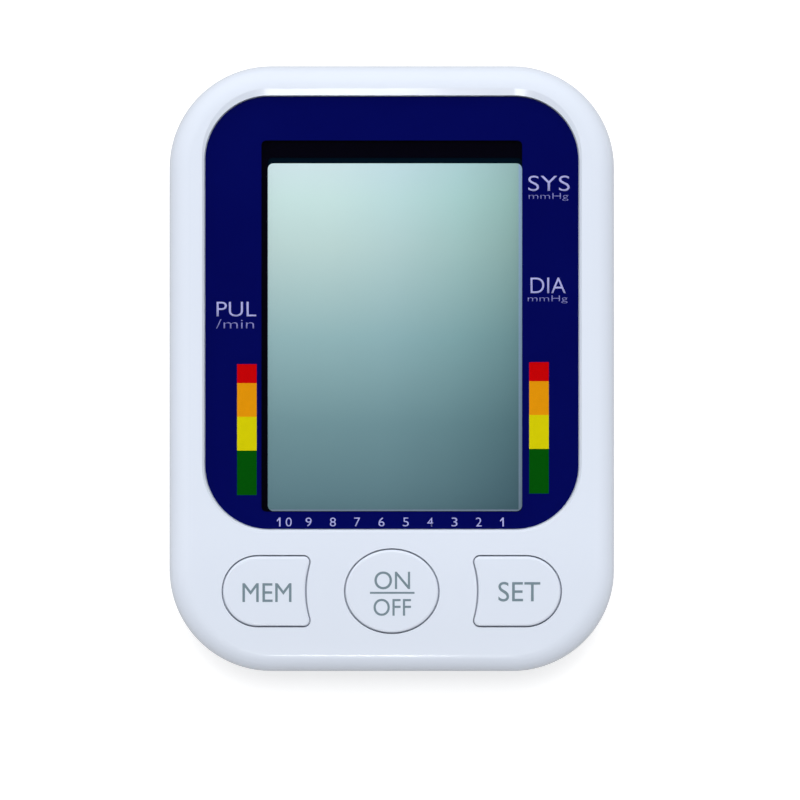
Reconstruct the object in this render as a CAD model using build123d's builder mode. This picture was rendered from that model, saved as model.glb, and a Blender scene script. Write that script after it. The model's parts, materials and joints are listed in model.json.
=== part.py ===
from build123d import *
import os
from math import asin, cos, degrees, radians, sin, tan

# Desktop blood pressure monitor for the upper arm: a wedge-shaped case with a large window
# and three keys on its sloping face, and the air pump, valves and four AA cells inside.
# Millimetres. +Z is up, +X is the user's right, and the user sits at -Y.
# Face frame: u runs along X, v runs up the sloping face and w points out of the face.

os.makedirs("parts", exist_ok=True)

# Case
body_width = 100.0
body_length = 136.2  # along the face
corner_radius = 22.9
face_tilt = 9.0
wall = 2.2
parting_depth = 14.0  # front shell's side wall, measured from the face
side_taper = 6.0
face_edge_radius = 5.0
fall_start = 38.0  # the face falls away from here to the user's edge
fall_radius = 110.0
crease_near = 1.0  # how near an edge's middle lies to the crease where the fall starts
upward = 0.9  # least cosine between the face and what counts as its surface
base_edge_radius = 3.5
lip_thickness = 1.0
lip_height = 1.5
seam_slack = 0.1
seam_line = 0.3

# Window and its recess
window_side_border = 8.0  # from the case's sides to the window
window_top_border = 6.85
key_band = 32.05  # from the user's end of the case to the window
window_radius = 14.4
window_thickness = 1.5
window_recess = 0.6
window_edge = 0.2
rim_bevel_side = 0.6
rim_bevel_top = 1.6
print_thickness = 0.1
tape_thickness = 0.2
ledge_width = 2.0
flange_width = 2.4
flange_thickness = 1.4
fit_slack = 0.1

# Display
mask_side_band = 12.7  # print beside the clear area
mask_top_band = 9.95
mask_low_band = 3.95
view_left_margin = 1.4  # from the clear area to the display's own opening
view_top_margin = 3.8
view_radius = 1.1
polarizer_margin = 0.8
polarizer_thickness = 0.2
glass_thickness = 0.7
glass_margin = 1.4
glass_slack = 0.1
contact_ledge = 3.2
reflector_thickness = 0.3
frame_lip = 0.5
frame_wall = 1.4
frame_top_wall = 2.2
frame_radius = 2.5
frame_rib_width = 3.0
frame_rib_thickness = 1.3
frame_rib_spacing = 42.0
zebra_width = 2.2
zebra_end_gap = 3.0

# Main board
board_depth = 10.0  # face to the board's upper side
board_thickness = 1.6
board_side_room = 2.8  # from the side walls to the board
board_front_room = 4.9
board_rear_room = 9.9
board_radius = 14.0
board_bay_gap = 2.4  # from the battery bay up to the board
board_boss_radius = 2.6
board_pilot_radius = 1.0
board_screw_edge = 3.0  # from the board's sides
board_screw_front = 43.0  # from the board's user end
board_screw_rear = 26.0  # from the board's rear end
board_screw_grip = 4.5
thread_slack = 0.02
board_screw_slack = 0.2
board_notch_gap = 0.4
board_head_radius = 2.4
board_head_height = 1.5

# Keys and their switches
key_row_gap = 13.85  # from the window down to the keys' middle
key_travel = 0.5
key_gap = 0.3
key_rise = 0.35
key_edge_radius = 0.6
key_shell = 1.2
key_skirt = 0.9
key_skirt_thickness = 1.0
key_stop_gap = 0.15
power_key_width = 20.9
power_key_height = 18.7
side_key_height = 15.7
side_key_gap = 7.45  # from the middle key to the cusps
side_key_border = 12.1  # from the round end to the case's side
side_key_waist = 1.5
side_key_cusp_radius = 1.3
key_guide_wall = 1.1
key_guide_depth = 2.6
key_stem_radius = 2.2
key_rib_thickness = 1.0
key_rib_reach = 5.5
key_stem_free = 0.6
switch_size = 6.0
switch_height = 3.5
switch_plunger_radius = 1.75
switch_plunger_height = 1.5
switch_slack = 0.1
switch_sunk = 1.0
switch_corner = 0.5

# Parts on the board's underside
chip_u = 20.0
chip_v = -8.0
chip_size = 12.0
chip_height = 1.5
chip_chamfer = 0.4
buzzer_u = 24.0
buzzer_v = 12.0
buzzer_radius = 6.0
buzzer_height = 5.0
buzzer_hole_radius = 1.0
capacitor_u = -4.0
capacitor_v = 10.0
capacitor_pitch = 9.0
capacitor_count = 3
capacitor_radius = 3.15
capacitor_height = 7.5

# Case screws
front_screw_edge = 7.4  # from the case's side
front_screw_end = 20.6  # from the case's user end
rear_screw_edge = 14.0
rear_screw_end = 14.1
case_boss_radius = 3.6
case_tube_radius = 4.2
case_boss_end = 13.0  # depth where boss and tube meet
pilot_radius = 1.3
screw_clear_radius = 1.75
screw_head_radius = 2.8
screw_head_height = 2.0
screw_well_radius = 3.2
screw_shoulder = 3.5
screw_grip = 9.0
screw_end_gap = 0.5
screw_recess_radius = 1.4
screw_recess_depth = 1.0

# Feet
foot_radius = 5.0
foot_thickness = 2.2
foot_proud = 1.2
front_foot_edge = 23.0  # from the case's side to the foot's middle
front_foot_end = 11.1
rear_foot_edge = 12.5
rear_foot_end = 24.1
foot_slack = 0.1
foot_well_wall = 1.2
foot_edge = 0.5

# Battery bay
cell_radius = 7.25
cell_length = 49.5
cell_nub_radius = 2.75
cell_nub_height = 1.0
cell_edge = 0.4
cell_count = 4
cell_pitch = 15.2
bay_end_room = 20.1  # from the case's user end to the bay's inner front wall
bay_gap = 0.6
bay_wall = 1.6
spring_room = 4.0
plate_thickness = 0.4
plate_width = 10.0
plate_height = 11.0
plate_corner = 1.0
tail_width = 2.0  # solder tails of the two end contacts
tail_slack = 0.25
spring_wire = 0.35
spring_wire_sides = 6
spring_radius = 3.6
spring_pitch = 1.0
spring_cone = 18.0
rib_thickness = 1.0
rib_height = 3.5
cover_thickness = 1.8
cover_gap = 0.25
cover_seat = 1.2
cover_corner = 2.0
hook_width = 7.0
hook_reach = 1.2
hook_root = 2.4
hook_height = 1.2
hook_rise = 0.3
hook_room = 0.5
latch_width = 16.0
latch_reach = 3.0
latch_slot = 1.0
latch_slot_length = 7.0
latch_corner = 1.0
thumb_radius = 9.0
thumb_reach = 5.0
thumb_depth = 1.4
grip_pitch = 2.4
grip_count = 5
grip_width = 20.0
grip_line = 1.0
grip_depth = 0.5

# Pneumatics
pump_rear_room = 30.1  # from the case's rear end to the pump's axis
pump_z = 18.5
pump_side_room = 5.0  # from the case's side to the motor's boss
motor_radius = 12.0
motor_length = 30.0
motor_wall = 1.0
motor_edge = 0.8
motor_boss_radius = 3.0
motor_boss_length = 2.0
magnet_thickness = 1.8
magnet_length = 20.0
magnet_gap = 6.0
pump_head_size = 25.0
pump_head_length = 19.0
pump_head_radius = 3.0
pump_head_wall = 3.0
pump_cavity_radius = 8.5
pump_head_seams = (5.0, 12.0)
seam_groove = 0.6
shaft_radius = 1.0
shaft_running = 0.05
rotor_radius = 8.5
rotor_length = 17.0
crank_radius = 4.0
crank_length = 5.0
crank_offset = 1.2
crank_gap = 1.5
shaft_end_gap = 0.2
rotor_poles = 3
rotor_slot = 1.8
rotor_slot_middle = 6.5
sleeve_thickness = 2.0
sleeve_length = 12.0
sleeve_setback = 6.0
saddle_thickness = 1.8
nozzle_radius = 1.6
nozzle_bore = 0.8
nozzle_length = 3.0
hose_radius = 2.4
bend_share = 0.45
manifold_room = 9.0  # from the pump head to the manifold's middle
manifold_size = 7.0
manifold_edge = 0.6
manifold_chamber = 3.0
line_forward = 8.0  # from the pump's axis to the air line of socket and manifold
line_rise = 3.5
port_back = 6.0  # from the pump's axis to its port
valve_width = 14.0
valve_length = 12.0
valve_height = 12.5
valve_wall = 1.2
valve_edge = 0.8
plunger_radius = 2.0
plunger_length = 7.0
plunger_travel = 1.0
plunger_gap = 0.2
bleed_radius = 3.2
bleed_length = 3.5
bleed_hole = 0.5
sensor_edge = 9.0  # from the board's side to the sensor's middle
sensor_rear_room = 34.0
sensor_hose_run = 7.5
lead_radius = 0.5
lead_bend = 0.8
lead_clear = 1.8  # from the motor's end to the leads beside it
lead_pitch = 3.0
lead_shift = -4.0
terminal_rise = 6.5
valve_lead_inset = 1.2
sensor_width = 10.0
sensor_length = 8.0
sensor_height = 5.5
socket_bore = 2.4
socket_bore_length = 12.0
socket_radius = 5.5
socket_collar_radius = 7.2
socket_collar_thickness = 1.6
socket_recess = 0.6
socket_depth = 13.5
socket_mouth_chamfer = 0.5
jack_v = 4.0
jack_width = 9.0
jack_height = 11.0
jack_axis_height = 6.5  # from the board's underside to the plug's axis
jack_depth = 12.0
jack_wall_gap = 0.3
jack_hole_radius = 3.3
jack_bore_radius = 2.8
jack_bore_depth = 9.5
jack_pin_radius = 0.85

# Face: the window and the keys share it between the case's borders
case_side = body_width / 2
case_end = body_length / 2
beyond = body_width + body_length  # farther than any part of the case
window_width = body_width - 2 * window_side_border
window_length = body_length - window_top_border - key_band
window_middle = (key_band - window_top_border) / 2
window_low = window_middle - window_length / 2
aperture_width = window_width - 2 * mask_side_band
aperture_length = window_length - mask_top_band - mask_low_band
aperture_middle = window_middle + (mask_low_band - mask_top_band) / 2
view_width = aperture_width - view_left_margin
view_length = aperture_length - view_top_margin
view_shift = view_left_margin / 2
view_middle = aperture_middle - view_top_margin / 2
key_row = window_low - key_row_gap
side_key_inner = power_key_width / 2 + side_key_gap
side_key_outer = case_side - side_key_border

# Board and screws
board_width = body_width - 2 * (wall + board_side_room)
board_low = wall + board_front_room - case_end
board_high = case_end - wall - board_rear_room
board_under = board_depth + board_thickness
board_screw_u = board_width / 2 - board_screw_edge
board_screw_rows = (board_low + board_screw_front, board_high - board_screw_rear)
front_screw_u = case_side - front_screw_edge
front_screw_v = front_screw_end - case_end
rear_screw_u = case_side - rear_screw_edge
rear_screw_v = case_end - rear_screw_end
screw_radius = pilot_radius - thread_slack
sensor_u = sensor_edge - board_width / 2
sensor_v = board_high - sensor_rear_room

# Battery bay under the board, and the height of the face above it
base_level = foot_proud
cover_top = base_level + cover_thickness
cell_axis_z = cover_top + bay_gap + cell_radius
bay_ceiling = cell_axis_z + cell_radius + bay_gap / 2
bay_front = bay_end_room - case_end
tilt = radians(face_tilt)
board_drop = board_under / cos(tilt) + (bay_wall - bay_front) * tan(tilt)
face_height = bay_ceiling + bay_wall + board_bay_gap + board_drop  # at the middle of the face
face_normal = Vector(0, -sin(tilt), cos(tilt))
rough_face = Plane(origin=(0, 0, face_height), x_dir=(1, 0, 0), z_dir=face_normal)

deep = face_height + body_length / 4  # from the face to below the table


def side_plane(face):
    # v to the right, w up, seen from +X
    return Plane(origin=face.origin, x_dir=face.y_dir, z_dir=face.x_dir)


def face_profile(face, inset):
    # side view of the top surface: flat, then falling away towards the user
    radius = fall_radius - inset
    sweep_angle = degrees(asin((case_end - fall_start + face_edge_radius) / radius))
    rear = case_end + face_edge_radius
    with BuildSketch(side_plane(face), mode=Mode.PRIVATE) as profile:
        with BuildLine():
            flat = Line((rear, -inset), (-fall_start, -inset))
            fall = JernArc(start=flat @ 1, tangent=(-1, 0), radius=radius, arc_size=sweep_angle)
            front = Line(fall @ 1, ((fall @ 1).X, -beyond))
            under = Line(front @ 1, (rear, -beyond))
            Line(under @ 1, flat @ 0)
        make_face()
    return profile.sketch


def case_outline(inset, mode=Mode.ADD):
    width = body_width - 2 * inset
    return RectangleRounded(width, body_length - 2 * inset, corner_radius - inset, mode=mode)


def case_form(face, inset):
    # the closed outer form of the case, or its cavity when inset by the wall
    downward = Plane(origin=face.offset(-parting_depth).origin, x_dir=(1, 0, 0), z_dir=-face.z_dir)

    def on_rim(edge):
        middle = face.to_local_coords(edge.center())
        crease = abs(middle.X) < crease_near and abs(middle.Y + fall_start) < crease_near
        return middle.Z > -parting_depth / 2 and not crease

    with BuildPart() as form:
        with BuildSketch(face.offset(-parting_depth)):
            case_outline(inset)
        extrude(amount=parting_depth)
        extrude(face_profile(face, inset), amount=body_width, both=True, mode=Mode.INTERSECT)
        upper = form.faces().filter_by(lambda f: f.normal_at().dot(face.z_dir) > upward)
        fillet(upper.edges().filter_by(on_rim), face_edge_radius - inset)
        with BuildSketch(downward):
            case_outline(inset)
        extrude(amount=deep, taper=side_taper)
        split(bisect_by=Plane.XY.offset(base_level + inset), keep=Keep.TOP)
        fillet(form.edges().group_by(Axis.Z)[0], base_edge_radius - inset)
    return form.part


# The case stands with the middle of its own extent over the origin
rough_case = case_form(rough_face, 0)
face_shift = -rough_case.bounding_box().center().Y
face_plane = Plane(origin=(0, face_shift, face_height), x_dir=(1, 0, 0), z_dir=face_normal)
outward = Axis(face_plane.origin, face_plane.z_dir)
case_outer = case_form(face_plane, 0)
case_inner = case_form(face_plane, wall)


def at_depth(depth):
    # plane parallel to the face, this far behind it
    return face_plane.offset(-depth)


def inside(u, v, depth):
    # the point behind the face, in the case's own frame
    return face_plane.from_local_coords((u, v, -depth))


def finish(builder, name):
    builder.part.label = name
    export_step(builder.part, f"parts/{name}.step")


def face_slab(inset):
    # everything that lies deeper than the case's top surface moved in by the inset
    return extrude(face_profile(face_plane, inset), amount=body_width, both=True, mode=Mode.PRIVATE)


def window_outline(grow, mode=Mode.ADD):
    with Locations((0, window_middle)):
        RectangleRounded(
            window_width + 2 * grow, window_length + 2 * grow, window_radius + grow, mode=mode
        )


def glass_outline(extra_top, grow):
    # display glass: the view with a margin all round, and more at the top where it is contacted
    margin = glass_margin + grow
    with Locations((view_shift, view_middle + extra_top / 2)):
        Rectangle(view_width + 2 * margin, view_length + 2 * margin + extra_top)


def frame_outline():
    width = view_width + 2 * (glass_margin + glass_slack + frame_wall)
    low = view_middle - view_length / 2 - glass_margin - glass_slack - frame_wall
    high = view_middle + view_length / 2 + glass_margin + glass_slack + contact_ledge + frame_top_wall
    with Locations((view_shift, (low + high) / 2)):
        RectangleRounded(width, high - low, frame_radius)


def side_key_outline(grow, side):
    # full round outside, slightly waisted towards the middle key
    half = side_key_height / 2 + grow
    outer = side_key_outer + grow
    inner = side_key_inner - grow
    with BuildSketch(mode=Mode.PRIVATE) as key:
        with BuildLine():
            top = Line((outer - half, half), (inner, half))
            hollow = ThreePointArc(top @ 1, (inner + side_key_waist, 0), (inner, -half))
            low = Line(hollow @ 1, (outer - half, -half))
            ThreePointArc(low @ 1, (outer, 0), top @ 0)
        make_face()
        fillet(key.vertices().group_by(Axis.X)[0], max(side_key_cusp_radius + grow, key_gap))
        if side < 0:
            mirror(about=Plane.YZ, mode=Mode.REPLACE)
    with Locations((0, key_row)):
        add(key.sketch)


def key_outline(name, grow):
    if name == "power":
        with Locations((0, key_row)):
            Ellipse(power_key_width / 2 + grow, power_key_height / 2 + grow)
    else:
        side_key_outline(grow, -1 if name == "mem" else 1)


side_key_u = (side_key_inner + side_key_outer) / 2
key_places = {"mem": (-side_key_u, key_row), "power": (0, key_row), "set": (side_key_u, key_row)}
front_screws = [(side * front_screw_u, front_screw_v) for side in (-1, 1)]
rear_screws = [(side * rear_screw_u, rear_screw_v) for side in (-1, 1)]
case_screw_places = front_screws + rear_screws
board_screw_places = [(u * board_screw_u, v) for u in (-1, 1) for v in board_screw_rows]

print_depth = window_recess + window_thickness
pocket_depth = print_depth + print_thickness + tape_thickness
flange_depth = pocket_depth + flange_thickness
frame_depth = flange_depth
glass_depth = frame_depth + frame_lip + polarizer_thickness
reflector_depth = glass_depth + 2 * glass_thickness
rib_depth = reflector_depth + reflector_thickness
lip_inset = wall - lip_thickness
guide_grow = key_skirt + key_gap
switch_top = board_depth - switch_height
plunger_top = switch_top - switch_plunger_height

# Keys are guided by collars that stand on the inside of the face
with BuildPart() as key_collars:
    for key in key_places:
        with BuildSketch(at_depth(switch_top - key_travel)):
            key_outline(key, guide_grow + key_guide_wall)
        extrude(amount=switch_top)
        with BuildSketch(at_depth(switch_top)):
            key_outline(key, guide_grow)
        extrude(amount=2 * switch_top, mode=Mode.SUBTRACT)
    add(face_slab(wall / 2), mode=Mode.INTERSECT)

# Front housing: face and side wall, window pocket with its ledge, key openings, bosses
with BuildPart() as front_housing:
    add(case_outer)
    add(case_inner, mode=Mode.SUBTRACT)
    split(bisect_by=at_depth(parting_depth), keep=Keep.TOP)
    with BuildSketch(at_depth(parting_depth)):
        case_outline(lip_inset - seam_slack)
    extrude(amount=lip_height + seam_slack, mode=Mode.SUBTRACT)
    with BuildSketch(at_depth(flange_depth)):
        window_outline(flange_width)
    extrude(amount=flange_depth - wall / 2)
    with BuildSketch(at_depth(board_depth)):
        with Locations(*board_screw_places):
            Circle(board_boss_radius)
    extrude(amount=board_depth - wall)
    with BuildSketch(at_depth(case_boss_end)):
        with Locations(*case_screw_places):
            Circle(case_boss_radius)
    extrude(amount=case_boss_end - wall)
    with BuildSketch(at_depth(board_depth)):
        with Locations(*board_screw_places):
            Circle(board_pilot_radius)
    extrude(amount=board_screw_grip, mode=Mode.SUBTRACT)
    with BuildSketch(at_depth(case_boss_end)):
        with Locations(*case_screw_places):
            Circle(pilot_radius)
    extrude(amount=screw_grip, mode=Mode.SUBTRACT)
    add(key_collars.part)
    for key in key_places:
        with BuildSketch(at_depth(wall + key_guide_depth)):
            key_outline(key, key_gap)
        extrude(amount=2 * wall + key_guide_depth, mode=Mode.SUBTRACT)
    with BuildSketch(at_depth(pocket_depth)):
        window_outline(fit_slack)
    extrude(amount=pocket_depth + wall, mode=Mode.SUBTRACT)
    with BuildSketch(at_depth(flange_depth)):
        window_outline(-ledge_width)
    extrude(amount=flange_depth, mode=Mode.SUBTRACT)
    # the rim is bevelled down to the window, widest at the top
    with BuildSketch(at_depth(window_recess)):
        window_outline(fit_slack)
    with BuildSketch(face_plane):
        with Locations((0, window_middle + (rim_bevel_top - rim_bevel_side) / 2)):
            RectangleRounded(
                window_width + 2 * rim_bevel_side,
                window_length + rim_bevel_side + rim_bevel_top,
                window_radius + rim_bevel_side,
            )
    loft(mode=Mode.SUBTRACT)
finish(front_housing, "front_housing")

# Display window: clear cover with a printed mask and a ring of adhesive tape under its edge
with BuildPart() as display_window:
    with BuildSketch(at_depth(print_depth)):
        window_outline(0)
    extrude(amount=window_thickness)
    chamfer(display_window.faces().sort_by(outward)[-1].edges(), window_edge)
finish(display_window, "display_window")

with BuildPart() as window_print:
    with BuildSketch(at_depth(print_depth + print_thickness)):
        window_outline(-fit_slack)
        with Locations((0, aperture_middle)):
            RectangleRounded(aperture_width, aperture_length, view_radius, mode=Mode.SUBTRACT)
    extrude(amount=print_thickness)
finish(window_print, "window_print")

with BuildPart() as window_tape:
    with BuildSketch(at_depth(pocket_depth)):
        window_outline(-fit_slack)
        window_outline(fit_slack - ledge_width, Mode.SUBTRACT)
    extrude(amount=tape_thickness)
finish(window_tape, "window_tape")

# Display: glass sandwich held in a black frame that stands on the board
with BuildPart() as lcd_frame:
    with BuildSketch(at_depth(board_depth)):
        frame_outline()
    extrude(amount=board_depth - frame_depth)
    with BuildSketch(at_depth(board_depth)):
        glass_outline(contact_ledge, glass_slack)
    extrude(amount=board_depth - frame_depth - frame_lip, mode=Mode.SUBTRACT)
    with BuildSketch(at_depth(board_depth)):
        with Locations((view_shift, view_middle)):
            RectangleRounded(view_width, view_length, view_radius)
    extrude(amount=board_depth - frame_depth, mode=Mode.SUBTRACT)
    with BuildSketch(at_depth(rib_depth + frame_rib_thickness)):
        with Locations((view_shift, view_middle)):
            with GridLocations(0, frame_rib_spacing, 1, 2):
                Rectangle(view_width + 2 * (glass_margin + frame_wall), frame_rib_width)
    extrude(amount=frame_rib_thickness)
finish(lcd_frame, "lcd_frame")


def view_film(depth, thickness, name):
    with BuildPart() as film:
        with BuildSketch(at_depth(depth)):
            with Locations((view_shift, view_middle)):
                Rectangle(view_width + 2 * polarizer_margin, view_length + 2 * polarizer_margin)
        extrude(amount=thickness)
    finish(film, name)


view_film(glass_depth, polarizer_thickness, "lcd_polarizer")
view_film(reflector_depth + reflector_thickness, reflector_thickness, "lcd_reflector")

with BuildPart() as lcd_front_glass:
    with BuildSketch(at_depth(glass_depth + glass_thickness)):
        glass_outline(contact_ledge, 0)
    extrude(amount=glass_thickness)
finish(lcd_front_glass, "lcd_front_glass")

with BuildPart() as lcd_rear_glass:
    with BuildSketch(at_depth(reflector_depth)):
        glass_outline(0, 0)
    extrude(amount=glass_thickness)
finish(lcd_rear_glass, "lcd_rear_glass")

# Rubber strip that joins the glass contacts to the board
zebra_v = view_middle + view_length / 2 + glass_margin + contact_ledge / 2
with BuildPart() as zebra_strip:
    with BuildSketch(at_depth(board_depth)):
        with Locations((view_shift, zebra_v)):
            Rectangle(view_width + 2 * (glass_margin - zebra_end_gap), zebra_width)
    extrude(amount=board_depth - glass_depth - glass_thickness)
finish(zebra_strip, "zebra_strip")

# Keys: hollow caps with a skirt under the face, cross ribs and a stem on the switch
key_top_slab = face_slab(-key_rise)
key_skirt_slab = face_slab(wall + key_stop_gap)
key_under_slab = face_slab(wall + key_stop_gap + key_skirt_thickness)
key_hollow_slab = face_slab(key_shell - key_rise)
key_post_slab = face_slab(key_shell / 2 - key_rise)


def key_column(name, grow, slab):
    # the key's outline carried up to one of the surfaces parallel to the face
    with BuildPart() as column:
        with BuildSketch(at_depth(plunger_top)):
            key_outline(name, grow)
        extrude(amount=2 * plunger_top)
        add(slab, mode=Mode.INTERSECT)
    return column.part


def key_post(place):
    with BuildPart() as post:
        with BuildSketch(at_depth(plunger_top)):
            with Locations(place):
                Circle(key_stem_radius)
        extrude(amount=plunger_top)
        with BuildSketch(at_depth(plunger_top - key_stem_free)):
            with Locations(place):
                Rectangle(2 * key_rib_reach, key_rib_thickness)
                Rectangle(key_rib_thickness, 2 * key_rib_reach)
        extrude(amount=plunger_top)
        add(key_post_slab, mode=Mode.INTERSECT)
    return post.part


for name, place in key_places.items():
    with BuildPart() as key:
        add(key_column(name, 0, key_top_slab))
        fillet(key.faces().sort_by(outward)[-1].edges(), key_edge_radius)
        add(key_column(name, key_skirt, key_skirt_slab))
        add(key_under_slab, mode=Mode.SUBTRACT)
        add(key_column(name, -key_shell, key_hollow_slab), mode=Mode.SUBTRACT)
        add(key_post(place))
    finish(key, f"{name}_key")

    with BuildPart() as switch_plunger:
        with BuildSketch(at_depth(plunger_top)):
            with Locations(place):
                Circle(switch_plunger_radius)
        extrude(amount=-(switch_plunger_height + switch_sunk))
    finish(switch_plunger, f"{name}_switch_plunger")

    with BuildPart() as switch_body:
        with BuildSketch(at_depth(board_depth)):
            with Locations(place):
                Rectangle(switch_size, switch_size)
        extrude(amount=switch_height)
        chamfer(switch_body.edges().filter_by(outward), switch_corner)
        with BuildSketch(at_depth(switch_top)):
            with Locations(place):
                Circle(switch_plunger_radius + switch_slack)
        extrude(amount=-(switch_sunk + key_travel + switch_slack), mode=Mode.SUBTRACT)
    finish(switch_body, f"{name}_switch")

# Main board: rounded to the case, notched round the case screws
with BuildPart() as main_board:
    with BuildSketch(at_depth(board_under)):
        with Locations((0, (board_low + board_high) / 2)):
            RectangleRounded(board_width, board_high - board_low, board_radius)
        with Locations(*case_screw_places):
            Circle(case_boss_radius + board_notch_gap, mode=Mode.SUBTRACT)
        with Locations(*board_screw_places):
            Circle(board_pilot_radius + board_notch_gap, mode=Mode.SUBTRACT)
    extrude(amount=board_thickness)
finish(main_board, "main_board")

with BuildPart() as board_screws:
    with BuildSketch(at_depth(board_under + board_head_height)):
        with Locations(*board_screw_places):
            Circle(board_head_radius)
    extrude(amount=board_head_height)
    with BuildSketch(at_depth(board_under)):
        with Locations(*board_screw_places):
            Circle(board_pilot_radius - thread_slack)
    extrude(amount=board_thickness + board_screw_grip - board_screw_slack)
finish(board_screws, "board_screws")


def under_board(name, u, v, width, length, height):
    # a component soldered to the board's underside
    with BuildPart() as component:
        with BuildSketch(at_depth(board_under)):
            with Locations((u, v)):
                Rectangle(width, length)
        extrude(amount=-height)
        chamfer(component.faces().sort_by(outward)[0].edges(), chip_chamfer)
    finish(component, name)


under_board("controller_chip", chip_u, chip_v, chip_size, chip_size, chip_height)

with BuildPart() as buzzer:
    with BuildSketch(at_depth(board_under)):
        with Locations((buzzer_u, buzzer_v)):
            Circle(buzzer_radius)
    extrude(amount=-buzzer_height)
    chamfer(buzzer.faces().sort_by(outward)[0].edges(), chip_chamfer)
    with BuildSketch(at_depth(board_under + buzzer_height)):
        with Locations((buzzer_u, buzzer_v)):
            Circle(buzzer_hole_radius)
    extrude(amount=buzzer_height / 2, mode=Mode.SUBTRACT)
finish(buzzer, "buzzer")

with BuildPart() as capacitors:
    with BuildSketch(at_depth(board_under)):
        with Locations((capacitor_u, capacitor_v)):
            with GridLocations(capacitor_pitch, 0, capacitor_count, 1):
                Circle(capacitor_radius)
    extrude(amount=-capacitor_height)
    chamfer(capacitors.faces().group_by(outward)[0].edges(), chip_chamfer)
finish(capacitors, "capacitors")


# Rear housing: tapered tub with a horizontal base, battery bay, screw wells and pump saddles
cells_width = (cell_count - 1) * cell_pitch + 2 * cell_radius
bay_half = cells_width / 2 + bay_gap
bay_length = plate_thickness + spring_room + cell_length + cell_nub_height + plate_thickness
bay_rear = bay_front + bay_length
cell_start = bay_front + plate_thickness + spring_room
cell_xs = [(i - (cell_count - 1) / 2) * cell_pitch for i in range(cell_count)]
cover_front = bay_front - cover_seat
cover_rear = bay_rear + cover_seat
cover_half = bay_half + cover_seat
front_foot = (case_side - front_foot_edge, front_foot_end - case_end)
rear_foot = (case_side - rear_foot_edge, case_end - rear_foot_end)
foot_places = [(side * x, y) for side in (-1, 1) for x, y in (front_foot, rear_foot)]
motor_right = case_side - pump_side_room - motor_boss_length
motor_left = motor_right - motor_length
pump_left = motor_left - pump_head_length
pump_y = case_end - pump_rear_room
pump_port_y = pump_y + port_back
line_y = pump_y - line_forward
line_z = pump_z + line_rise
manifold_x = pump_left - manifold_room
sleeve_left = motor_left + sleeve_setback
sleeve_radius = motor_radius + sleeve_thickness
taper_slope = tan(radians(side_taper))
line_depth = -face_plane.to_local_coords(Vector(0, line_y, line_z)).Z
socket_face = (line_depth - parting_depth) * taper_slope - case_side
socket_outer = socket_face + socket_recess
socket_inner = socket_outer + socket_depth
jack_axis_depth = board_under + jack_axis_height
jack_low = board_under + jack_height
jack_outer = case_side - wall - (jack_low - parting_depth) * taper_slope - jack_wall_gap
hinge_y = cover_rear + cover_gap
floor_level = base_level + wall
hook_low = floor_level + hook_rise
hook_top = hook_low + hook_height
saddles = [
    (sleeve_left, pump_y, pump_z, sleeve_radius),
    (sleeve_left + sleeve_length - saddle_thickness, pump_y, pump_z, sleeve_radius),
    (socket_inner - saddle_thickness, line_y, line_z, socket_radius),
]
tail_xs = (cell_xs[0], cell_xs[-1])
hook_xs = [(cell_xs[i] + cell_xs[i + 1]) / 2 for i in (0, cell_count - 2)]


def rod(start, end, radius):
    # round bar between two points
    line = Line(start, end)
    return Solid.make_cylinder(radius, line.length, Plane(origin=start, z_dir=line % 0))


socket_hole = rod(
    (-body_width, line_y, line_z),
    (socket_inner - socket_depth / 2, line_y, line_z),
    socket_radius + fit_slack,
)
jack_hole = rod(
    inside(body_width, jack_v, jack_axis_depth),
    inside(jack_outer - jack_wall_gap, jack_v, jack_axis_depth),
    jack_hole_radius,
)

with BuildPart() as rear_supports:
    # what stands on the base inside the tub, before it is cut to the outer form
    with BuildSketch(at_depth(case_boss_end)):
        with Locations(*case_screw_places):
            Circle(case_tube_radius)
    extrude(amount=-deep)
    with BuildSketch(Plane.XY):
        with Locations((0, (bay_front + bay_rear) / 2)):
            Rectangle(2 * (bay_half + bay_wall), bay_length + 2 * bay_wall)
    extrude(amount=bay_ceiling + bay_wall)
    for x, y, z, radius in saddles:
        with BuildSketch(Plane.YZ.offset(x)):
            with Locations((y, 0)):
                Rectangle(2 * (radius + wall), z, align=(Align.CENTER, Align.MIN))
        extrude(amount=saddle_thickness)
    with BuildSketch(Plane.XY):
        with Locations(*foot_places):
            Circle(foot_radius + foot_slack + foot_well_wall)
    extrude(amount=base_level + foot_thickness)
    add(case_outer, mode=Mode.INTERSECT)

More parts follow.
